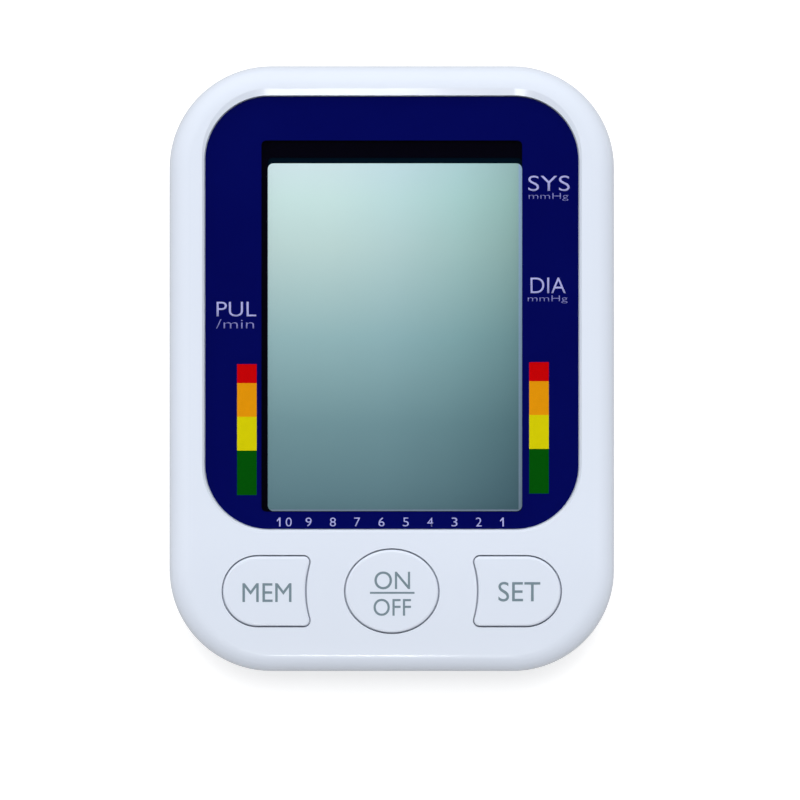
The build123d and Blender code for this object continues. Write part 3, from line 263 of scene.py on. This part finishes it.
def rubber(name, tone):
    # matt rubber with dusty patches and a fine grain
    look = rubberLook
    paint = Paint(name, IOR=look["index"])
    gain, lift = look["dust"]
    dusty = (*(min(channel * gain + lift, 1) for channel in tone[:3]), 1)
    paint.feed("Base Color", paint.between(paint.noise(look["dustScale"], 4.0), tone, dusty))
    gloss = paint.noise(look["glossScale"]) * look["glossSpread"]
    paint.feed("Roughness", gloss + look["roughness"])
    paint.bump(paint.noise(look["grainScale"], 2.0), look["grain"], look["grainDepth"])
    return paint.material


windowLook = {"mirrored": 0.04, "roughness": 0.005, "unevenness": 0.01, "tint": (0.985, 0.992, 1.0)}


def clearWindow():
    # clear cover: lets the light through and mirrors more of the room the flatter it is seen
    paint = Paint("clearAcrylic", Metallic=1.0)
    paint.shader.inputs["Base Color"].default_value = (1, 1, 1, 1)
    paint.feed("Normal", paint.flat())
    slant = paint.add("ShaderNodeLayerWeight", {}, {"Blend": 0.5, "Normal": paint.flat()}, "Facing")
    steep = paint.maths("POWER", slant, 5.0)
    share = steep * (1 - windowLook["mirrored"]) + windowLook["mirrored"]
    paint.feed("Roughness", paint.noise(35.0, 2.0) * windowLook["unevenness"] + windowLook["roughness"])
    clear = paint.add("ShaderNodeBsdfTransparent", {}, {"Color": (*windowLook["tint"], 1)})
    paint.mixShaders(share, clear, Signal(paint, paint.shader.outputs[0]))
    return paint.material


def beyond(paint, left, right, low, high, corner):
    # distance in metres from the inside of a round cornered opening, past the centres of its corners
    reach = []
    for name, least, most in (("X", left, right), ("Y", low, high)):
        away = paint.maths("ABSOLUTE", paint.axis(name) - (least + most) / 2, 0.0)
        reach.append(paint.maths("MAXIMUM", away - ((most - least) / 2 - corner), 0.0))
    return paint.maths("SQRT", reach[0] * reach[0] + reach[1] * reach[1], 0.0)


maskLook = {"ink": (5, 11, 92), "inkDeep": (3, 6, 83)}


def maskInk():
    # screen print on the back of the cover: deep blue, a touch uneven, with no shine of its own
    paint = Paint("maskInk", Specular_IOR_Level=0.0)
    tone = paint.between(paint.noise(45.0, 3.0), colour(*maskLook["inkDeep"]), colour(*maskLook["ink"]))
    paint.feed("Base Color", tone)
    paint.feed("Roughness", paint.noise(300.0) * 0.1 + 0.4)
    paint.feed("Normal", paint.flat())
    return paint.material


viewLook = {
    "left": -27.9,  # edges of the lit area on the face
    "right": 29.3,
    "low": -32.0,
    "high": 46.2,
    "corner": 1.3,  # radius of the lit area's corners
    "paintedShadeBand": (0, 14, 26),  # painted shade: dark teal band round the lit area, standing in for the shade at the film's edges
    "rightHighlightWidth": 0.8,  # painted highlights: paler bands on the right and along the foot, standing in for glints off the glass's edges
    "rightHighlightTones": ((0.0, (146, 174, 200)), (0.6, (122, 146, 168)), (1.0, (108, 126, 142))),
    "lowHighlightWidth": 0.35,
    "lowHighlightTone": (118, 132, 150),
    # painted shading: the film's tones from its top down to its foot
    "down": (
        (0.0, (209, 229, 230)),
        (0.10, (201, 225, 221)),
        (0.24, (188, 211, 207)),
        (0.50, (147, 179, 181)),
        (0.75, (113, 145, 150)),
        (1.0, (91, 121, 129)),
    ),
    # painted shading: share of the tone from left to right, along the upper edge and along the lower
    "acrossHigh": (
        (0.0, (1.0, 1.0, 1.0)),
        (0.25, (0.97, 0.98, 0.98)),
        (0.5, (0.84, 0.90, 0.93)),
        (0.75, (0.66, 0.79, 0.79)),
        (1.0, (0.46, 0.59, 0.56)),
    ),
    "acrossLow": (
        (0.0, (1.0, 1.0, 1.0)),
        (0.45, (0.97, 0.97, 0.97)),
        (0.7, (0.80, 0.82, 0.83)),
        (1.0, (0.50, 0.55, 0.59)),
    ),
    "grain": 0.03,
    # the film's painted tone: this share as its colour, the rest as a painted glow, though the film has no lamp
    # behind it
    "lit": 0.72,
    "paintedGlow": 0.45,
}


def displayFilm():
    # the display's film: its grey-green under painted light and shade, pale at the top left and slate at the
    # bottom right
    paint = Paint("displayFilm", Specular_IOR_Level=0.0)
    filmLow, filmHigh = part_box("lcd_polarizer")
    filmRise = ((Vector(filmLow) + Vector(filmHigh)) / 2 - faceOrigin).dot(faceOut) / mm
    top = onFace(0, viewLook["high"], filmRise)
    foot = onFace(0, viewLook["low"], filmRise)
    drop = top.y - foot.y
    down = paint.axis("Y") * (-1 / drop) + top.y / drop
    stops = [(position, rgb(*tone)) for position, tone in viewLook["down"]]
    paintedShadeDown = paint.add("ShaderNodeValToRGB", {"stops": stops}, {"Fac": down}, "Color")
    left = viewLook["left"] * mm
    width = viewLook["right"] * mm - left
    across = paint.axis("X") * (1 / width) - left / width
    ramps = []
    for ends in ("acrossHigh", "acrossLow"):
        ramps.append(paint.add("ShaderNodeValToRGB", {"stops": viewLook[ends]}, {"Fac": across}, "Color"))
    side = paint.between(down, ramps[0], ramps[1])
    # painted light and shade over the film, from its top down and from left to right
    lit = paint.times(paintedShadeDown, side)
    speck = paint.noise(2200.0, 2.0) * viewLook["grain"] + (1 - viewLook["grain"] / 2)
    grained = paint.times(lit, paint.grey(speck))
    # painted highlights along the right edge and the foot of the film
    stops = [(position, rgb(*tone)) for position, tone in viewLook["rightHighlightTones"]]
    rightHighlightRamp = paint.add("ShaderNodeValToRGB", {"stops": stops}, {"Fac": down}, "Color")
    inRightHighlight = paint.axis("X") > (viewLook["right"] - viewLook["rightHighlightWidth"]) * mm
    withRightHighlight = paint.between(inRightHighlight, grained, rightHighlightRamp)
    inLowHighlight = paint.axis("Y") < foot.y + viewLook["lowHighlightWidth"] * mm
    withLowHighlight = paint.between(inLowHighlight, withRightHighlight, colour(*viewLook["lowHighlightTone"]))
    # painted shade: dark teal band outside the lit area's round cornered edges
    corner = viewLook["corner"] * mm
    outside = beyond(paint, left, left + width, foot.y, top.y, corner) > corner
    withPaintedShade = paint.between(outside, withLowHighlight, colour(*viewLook["paintedShadeBand"]))
    share = (viewLook["lit"],) * 3 + (1,)
    paint.feed("Base Color", paint.times(withPaintedShade, share))
    # painted glow: the film gives off its own painted tone as light
    paint.feed("Emission Color", withPaintedShade)
    paint.shader.inputs["Emission Strength"].default_value = viewLook["paintedGlow"]
    paint.feed("Roughness", paint.noise(900.0) * 0.08 + 0.3)
    return paint.material


def boardMask():
    # green solder mask over copper: plated tracks show through as lighter bands
    paint = Paint("boardMask", IOR=1.5)
    black = (0, 0, 0, 1)
    layout = {"Vector": paint.place(), "Scale": 220.0, "Mortar Size": 0.03}
    layout |= {"Color1": black, "Color2": black, "Mortar": (1, 1, 1, 1)}
    tracks = paint.add("ShaderNodeTexBrick", {"offset": 0.5, "squash": 1.0}, layout, "Fac")
    paint.feed("Base Color", paint.between(tracks, colour(16, 92, 48), colour(34, 124, 70)))
    paint.feed("Roughness", paint.noise(200.0) * 0.15 + 0.3)
    paint.bump(tracks, 0.3, 0.00004)
    return paint.material


cellLook = {
    "band": 0.0135,  # reach of the warm band from the nub's tip
    "nubEnd": 0.0009,  # bare metal at the nub's end and at the flat end
    "flatEnd": 0.0018,
    "jacket": (28, 44, 88),
    "bandTone": (196, 150, 62),
    "metal": (190, 188, 182),
}


def cellJacket(name, cell, side):
    # printed sleeve: dark blue with a warm band at the nub's end, bare metal at both ends
    paint = Paint(name, IOR=1.5, Coat_Weight=0.4, Coat_Roughness=0.1)
    low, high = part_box(cell)
    nubEnd = low[1] if side > 0 else high[1]
    along = (paint.axis("Y") - nubEnd) * side
    inBand = along < cellLook["band"]
    tone = paint.between(inBand, colour(*cellLook["jacket"]), colour(*cellLook["bandTone"]))
    ends = (along < cellLook["nubEnd"]) + (along > (high[1] - low[1] - cellLook["flatEnd"]))
    worn = paint.between(ends, tone, colour(*cellLook["metal"]))
    paint.feed("Base Color", worn)
    paint.feed("Metallic", ends * 0.9)
    paint.feed("Roughness", paint.noise(120.0) * 0.1 + 0.25)
    return paint.material


finishes = {
    "white_gloss_plastic": mouldedPlastic("glossWhite", colour(228, 236, 250), 0.24, 0.00001, 900.0, 0.35),
    "white_plastic": mouldedPlastic("satinWhite", colour(226, 233, 245), 0.46, 0.00004, 2400.0),
    "clear_window": clearWindow(),
    "mask_ink": maskInk(),
    "adhesive": rubber("tapeAdhesive", colour(70, 70, 72)),
    "black_plastic": mouldedPlastic("blackPlastic", colour(16, 17, 20), 0.5, 0.00004, 2200.0),
    "lcd_film": displayFilm(),
    "display_glass": mouldedPlastic("displayGlass", colour(150, 172, 170), 0.1, 0.000001, 300.0, 0.5),
    "grey_rubber": rubber("greyRubber", colour(92, 95, 100)),
    "green_board": boardMask(),
    "switch_stem": mouldedPlastic("switchStem", colour(190, 178, 150), 0.45, 0.00003, 1800.0),
    "steel": metal("zincSteel", colour(196, 198, 200), 0.34, 12.0),
    "nickel_strip": metal("nickelStrip", colour(206, 201, 186), 0.28, 14.0),
    "ferrite": mouldedPlastic("ferrite", colour(58, 58, 62), 0.6, 0.00006, 1500.0),
    "cell_jacket": cellJacket("cellJacket", "aa_cell_2", 1),
    "grey_plastic": mouldedPlastic("greyPlastic", colour(176, 180, 187), 0.4, 0.00004, 2200.0),
    "silicone": mouldedPlastic("silicone", colour(222, 222, 214), 0.38, 0.00003, 1400.0, 0.1),
    "lead_wire": mouldedPlastic("leadWire", colour(150, 26, 24), 0.4, 0.00002, 1800.0),
}
displayFrame = mouldedPlastic("displayFrame", colour(4, 3, 14), 0.6, 0.00003, 2200.0, 0.0, 0.0)
for entry in frame["record"]["subparts"]:
    mesh = nodes[entry["node"]].data
    mesh.materials.clear()
    mesh.materials.append(finishes[entry["material_slot"]])
nodes["lcd_frame"].data.materials[0] = displayFrame
turnedJacket = cellJacket("cellJacketTurned", "aa_cell_1", -1)
for cell in ("aa_cell_1", "aa_cell_3"):
    nodes[cell].data.materials[0] = turnedJacket
print("materials made:", len(finishes))


# ---- printed pieces

def deselectAll():
    bpy.ops.object.select_all(action="DESELECT")


def inkPaint(name, tone, rough=0.42, shine=0.0):
    # printed ink: slightly uneven cover
    paint = Paint(name, Specular_IOR_Level=shine)
    paint.feed("Base Color", paint.between(paint.noise(700.0, 2.0), dimmed(tone, 0.9), tone))
    paint.feed("Roughness", paint.noise(400.0) * 0.1 + (rough - 0.05))
    return paint.material


def letters(name, words, height, width, weight=0.0):
    # words as a flat mesh in millimetres, centred on the origin and fitted to the given size
    deselectAll()
    bpy.ops.object.text_add(location=(0, 0, 0))
    label = bpy.context.object
    label.name = name
    label.data.body = words
    label.data.align_x = "CENTER"
    label.data.align_y = "CENTER"
    label.data.resolution_u = 6
    label.data.offset = weight
    bpy.ops.object.convert(target="MESH")
    mesh = label.data
    xs = [vertex.co.x for vertex in mesh.vertices]
    ys = [vertex.co.y for vertex in mesh.vertices]
    scale = Matrix.Diagonal((width / (max(xs) - min(xs)), height / (max(ys) - min(ys)), 1, 1))
    middle = Vector(((max(xs) + min(xs)) / 2, (max(ys) + min(ys)) / 2, 0))
    mesh.transform(scale @ Matrix.Translation(-middle))
    return label


def figureOne(name, height):
    # the figure one as a stem with a flag, which the plain font lacks
    stem = 0.15 * height
    top = height / 2
    flag = ((-2.2 * stem, top - 2.1 * stem), (-0.5 * stem, top), (0.5 * stem, top), (0.5 * stem, -top))
    outline = flag + ((-0.5 * stem, -top), (-0.5 * stem, top - 1.5 * stem), (-2.2 * stem, top - 3.1 * stem))
    mesh = bpy.data.meshes.new(name)
    mesh.from_pydata([(x, y, 0) for x, y in outline], [], [tuple(reversed(range(len(outline))))])
    figure = bpy.data.objects.new(name, mesh)
    bpy.context.collection.objects.link(figure)
    return figure


def bar(name, width, height):
    # flat rectangle in millimetres, cut across so that it can follow a curved surface
    deselectAll()
    bpy.ops.mesh.primitive_grid_add(x_subdivisions=12, y_subdivisions=2, size=1)
    strip = bpy.context.object
    strip.name = name
    strip.data.transform(Matrix.Diagonal((width, height, 1, 1)))
    return strip


def join(name, pieces):
    deselectAll()
    for piece in pieces:
        piece.select_set(True)
    bpy.context.view_layer.objects.active = pieces[0]
    if len(pieces) > 1:
        bpy.ops.object.join()
    pieces[0].name = name
    pieces[0].data.name = name
    return pieces[0]


def applyAll(piece):
    deselectAll()
    piece.select_set(True)
    bpy.context.view_layer.objects.active = piece
    for modifier in list(piece.modifiers):
        bpy.ops.object.modifier_apply(modifier=modifier.name)


def thicken(piece, depth):
    solid = piece.modifiers.new("inkLayer", "SOLIDIFY")
    solid.thickness = depth
    solid.offset = 1.0
    applyAll(piece)


def dress(piece, material, body):
    piece.data.materials.clear()
    piece.data.materials.append(material)
    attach(piece, body)


fieldLayout = {
    "facing": 0.9,  # sides that look out of the face at least this squarely
    "layer": 0.01,
}
legendLayout = {
    "ink": (186, 186, 240),
    "layer": 0.02,
    "inkSmall": (142, 142, 205),
    # words, middle u, middle v, cap height, width
    "words": (
        ("SYS", 35.3, 41.65, 3.45, 9.3),
        ("DIA", 35.1, 18.75, 3.5, 7.9),
        ("PUL", -34.9, 13.4, 3.3, 8.9),
    ),
    "smallWords": (
        ("mmHg", 35.2, 38.6, 1.75, 8.9),
        ("mmHg", 35.0, 15.6, 1.75, 8.9),
        ("/min", -35.2, 10.1, 2.1, 8.5),
    ),
    "numbersV": -34.4,
    "numbersPitch": 5.46,
    "numbersMiddle": 0.42,
    "numbersHeight": 2.0,
    "digitWidth": 1.35,
    "digitPitch": 2.0,
    "weights": {"words": -0.006, "smallWords": -0.012, "numbers": -0.004},
}


def printField():
    # the mask's outer face as a layer of its own, evenly shaded up to its thin edges
    source = nodes["window_print"].data
    outward = [side.vertices for side in source.polygons if side.normal.dot(faceOut) > fieldLayout["facing"]]
    used = sorted({index for side in outward for index in side})
    rank = {index: order for order, index in enumerate(used)}
    mesh = bpy.data.meshes.new("printedField")
    corners = [source.vertices[index].co for index in used]
    mesh.from_pydata(corners, [], [[rank[index] for index in side] for side in outward])
    field = bpy.data.objects.new("printedField", mesh)
    bpy.context.collection.objects.link(field)
    thicken(field, fieldLayout["layer"] * mm)
    dress(field, finishes["mask_ink"], "root")


def printLegends():
    ground = faceLayout["inkRise"] - faceLayout["printDepth"]
    for group, ink in (("words", "ink"), ("smallWords", "inkSmall")):
        made = []
        for words, u, v, height, width in legendLayout[group]:
            label = letters("legend", words, height, width, legendLayout["weights"][group])
            label.data.transform(faceMatrix(u, v, ground))
            made.append(label)
        legends = join(group, made)
        thicken(legends, legendLayout["layer"] * mm)
        dress(legends, inkPaint(ink, colour(*legendLayout[ink])), "root")
    made = []
    height = legendLayout["numbersHeight"]
    width = legendLayout["digitWidth"]
    weights = legendLayout["weights"]
    for i in range(10):
        u = legendLayout["numbersMiddle"] + (i - 4.5) * legendLayout["numbersPitch"]
        figures = str(10 - i)
        for j, figure in enumerate(figures):
            shift = (j - (len(figures) - 1) / 2) * legendLayout["digitPitch"]
            if figure == "1":
                label = figureOne("number", height)
            else:
                label = letters("number", figure, height, width, weights["numbers"])
            label.data.transform(faceMatrix(u + shift, legendLayout["numbersV"], ground))
            made.append(label)
    numbers = join("numbers", made)
    thicken(numbers, legendLayout["layer"] * mm)
    dress(numbers, inkPaint("inkNumbers", colour(*legendLayout["ink"])), "root")


barLayout = {
    "width": 4.4,
    "left": (-32.55, 1.05, -28.35),
    "right": (33.05, 1.5, -28.0),
    # share of the height from the top at which each colour ends
    "bands": (
        ("Red", 0.145, (205, 4, 8)),
        ("Amber", 0.402, (236, 154, 12)),
        ("Yellow", 0.66, (222, 212, 8)),
        ("Green", 1.0, (4, 84, 9)),
    ),
    "layer": 0.02,
}


def printBars():
    ground = faceLayout["inkRise"] - faceLayout["printDepth"]
    for side in ("left", "right"):
        u, high, low = barLayout[side]
        start = 0.0
        for bandName, share, tone in barLayout["bands"]:
            top = high - (high - low) * start
            bottom = high - (high - low) * share
            piece = bar(side + "Bar" + bandName, barLayout["width"], top - bottom)
            piece.data.transform(faceMatrix(u, (top + bottom) / 2, ground))
            thicken(piece, barLayout["layer"] * mm)
            dress(piece, inkPaint("bar" + bandName, colour(*tone)), "root")
            start = share


keyLayout = {
    "ink": (122, 142, 153),
    "layer": 0.03,
    "rise": 0.015,
    "lift": 1.2,
    "words": {
        "mem_key": (("MEM", -28.0, -49.95, 4.15, 11.0),),
        "set_key": (("SET", 28.6, -49.75, 4.35, 9.4),),
        "power_key": (("ON", 0.1, -47.25, 3.95, 8.0), ("OFF", 0.1, -53.2, 3.75, 8.4)),
    },
    "rule": (0.1, -50.0, 10.0, 0.42),
}


def printKeys():
    ink = inkPaint("keyInk", colour(*keyLayout["ink"]), 0.35, 0.4)
    for keyNode, words in keyLayout["words"].items():
        made = []
        for text, u, v, height, width in words:
            label = letters(text, text, height, width)
            label.data.transform(faceMatrix(u, v, keyLayout["lift"]))
            made.append(label)
        if keyNode == "power_key":
            u, v, width, height = keyLayout["rule"]
            rule = bar("rule", width, height)
            rule.data.transform(faceMatrix(u, v, keyLayout["lift"]))
            made.append(rule)
        marks = join(keyNode.replace("_key", "Letters"), made)
        wrap = marks.modifiers.new("onKey", "SHRINKWRAP")
        wrap.target = nodes[keyNode]
        wrap.wrap_method = "PROJECT"
        wrap.use_project_z = True
        wrap.use_negative_direction = True
        wrap.use_positive_direction = False
        wrap.wrap_mode = "ABOVE_SURFACE"
        wrap.offset = keyLayout["rise"] * mm
        applyAll(marks)
        thicken(marks, keyLayout["layer"] * mm)
        dress(marks, ink, frameBody(keyNode))


def frameBody(node):
    bodies = frame["record"]["behaviour"]["bodies"]
    return next(body for body, members in bodies.items() if node in members)


printField()
printLegends()
printBars()
printKeys()
print("printed pieces made")


# ---- studio

studio = {
    "floorTone": 0.62,
    "floorSize": 6.0,
    "floorGap": 0.05,
    "floorGlow": 0.62,
    "skyBright": 0.92,
    "skyDim": 0.40,
    "skySide": (-0.2, 1.0, 0.21),
    "skyFrom": -0.1,
    "skyTo": 0.93,
    "behindCamera": 0.02,
    "keyEnergy": 54.5,
    "keySize": (1.1, 1.1),
    "keyPlace": (0.0, 0.22, 3.2),
    "rimEnergy": 1.0,
    "rimSize": (0.14, 0.16),
    "rimPlace": (-0.05, -1.09, 1.016),
    "cameraDistance": 1.5,
    "pictureWidth": 179.4,
    "aim": (1.84, -7.0),
    "sensorWidth": 36.0,
    "nearest": 0.05,
    "farthest": 20.0,
    "hoodFrom": 0.93,  # the room turns dark this nearly along the face's normal
    "hoodTo": 0.985,
}


def makeFloor():
    deselectAll()
    bpy.ops.mesh.primitive_plane_add(size=studio["floorSize"], location=(0, 0, -studio["floorGap"] * mm))
    floor = bpy.context.object
    floor.name = "studioFloor"
    paint = Paint("floorPaper", Roughness=0.9)
    tone = (studio["floorTone"],) * 3 + (1,)
    paint.feed("Base Color", paint.between(paint.noise(3.0), dimmed(tone, 0.98), tone))
    seen = paint.add("ShaderNodeLightPath", {}, {}, "Is Camera Ray")
    paint.feed("Emission Color", paint.grey(seen * studio["floorGlow"]))
    paint.shader.inputs["Emission Strength"].default_value = 1.0
    below = paint.add("ShaderNodeNewGeometry", {}, {}, "Backfacing")
    passed = paint.add("ShaderNodeLightPath", {}, {}, "Transparent Depth")
    clear = paint.add("ShaderNodeBsdfTransparent", {}, {"Color": (1, 1, 1, 1)})
    share = paint.maths("MAXIMUM", below, passed > 0.5)
    paint.mixShaders(share, Signal(paint, paint.shader.outputs[0]), clear)
    floor.data.materials.append(paint.material)


def makeWorld():
    # a soft room, brighter on the side of the lamp and dark behind the camera
    world = bpy.data.worlds.new("studioRoom")
    bpy.context.scene.world = world
    world.use_nodes = True
    graph = Graph(world.node_tree)
    direction = graph.add("ShaderNodeTexCoord", {}, {}, "Generated")

    def along(axis):
        settings = {"operation": "DOT_PRODUCT"}
        return graph.add("ShaderNodeVectorMath", settings, {0: direction, 1: axis}, "Value")

    sides = {"From Min": studio["skyFrom"], "From Max": studio["skyTo"]}
    sides |= {"To Min": studio["skyDim"], "To Max": studio["skyBright"]}
    towards = along(Vector(studio["skySide"]).normalized())
    sky = graph.add("ShaderNodeMapRange", {}, {"Value": towards, **sides})
    hood = {"From Min": studio["hoodFrom"], "From Max": studio["hoodTo"]}
    hood |= {"To Min": 1.0, "To Max": studio["behindCamera"]}
    soft = {"interpolation_type": "SMOOTHSTEP"}
    shade = graph.add("ShaderNodeMapRange", soft, {"Value": along(faceOut), **hood})
    seen = graph.add("ShaderNodeLightPath", {}, {}, "Is Camera Ray")
    ground = graph.tree.nodes["Background"]
    ground.inputs["Color"].default_value = (1, 1, 1, 1)
    strength = graph.maths("MAXIMUM", sky * shade, seen)
    graph.tree.links.new(strength.socket, ground.inputs["Strength"])


def makeLamp(name, energy, size, place, spread=True, shine=True):
    # spread: lights the surfaces; shine: shows in their gloss
    lamp = bpy.data.lights.new(name, "AREA")
    lamp.energy = energy
    lamp.shape = "RECTANGLE"
    lamp.size, lamp.size_y = size
    holder = bpy.data.objects.new(name, lamp)
    bpy.context.collection.objects.link(holder)
    holder.location = place
    holder.rotation_euler = (-Vector(place)).to_track_quat("-Z", "Y").to_euler()
    holder.visible_diffuse = spread
    holder.visible_glossy = shine


def makeCamera():
    lens = bpy.data.cameras.new("camera")
    camera = bpy.data.objects.new("camera", lens)
    bpy.context.collection.objects.link(camera)
    lens.sensor_width = studio["sensorWidth"]
    lens.lens = lens.sensor_width * studio["cameraDistance"] / (studio["pictureWidth"] * mm)
    lens.clip_start = studio["nearest"]
    lens.clip_end = studio["farthest"]
    turn = Matrix((Vector((1, 0, 0)), faceUp, faceOut)).transposed().to_4x4()
    place = onFace(*studio["aim"]) + faceOut * studio["cameraDistance"]
    camera.matrix_world = Matrix.Translation(place) @ turn
    bpy.context.scene.camera = camera


makeFloor()
makeWorld()
makeLamp("keyLamp", studio["keyEnergy"], studio["keySize"], studio["keyPlace"], shine=False)
makeLamp("rimLamp", studio["rimEnergy"], studio["rimSize"], studio["rimPlace"], spread=False)
makeCamera()
bpy.context.scene.view_settings.view_transform = "Standard"
print("studio ready")
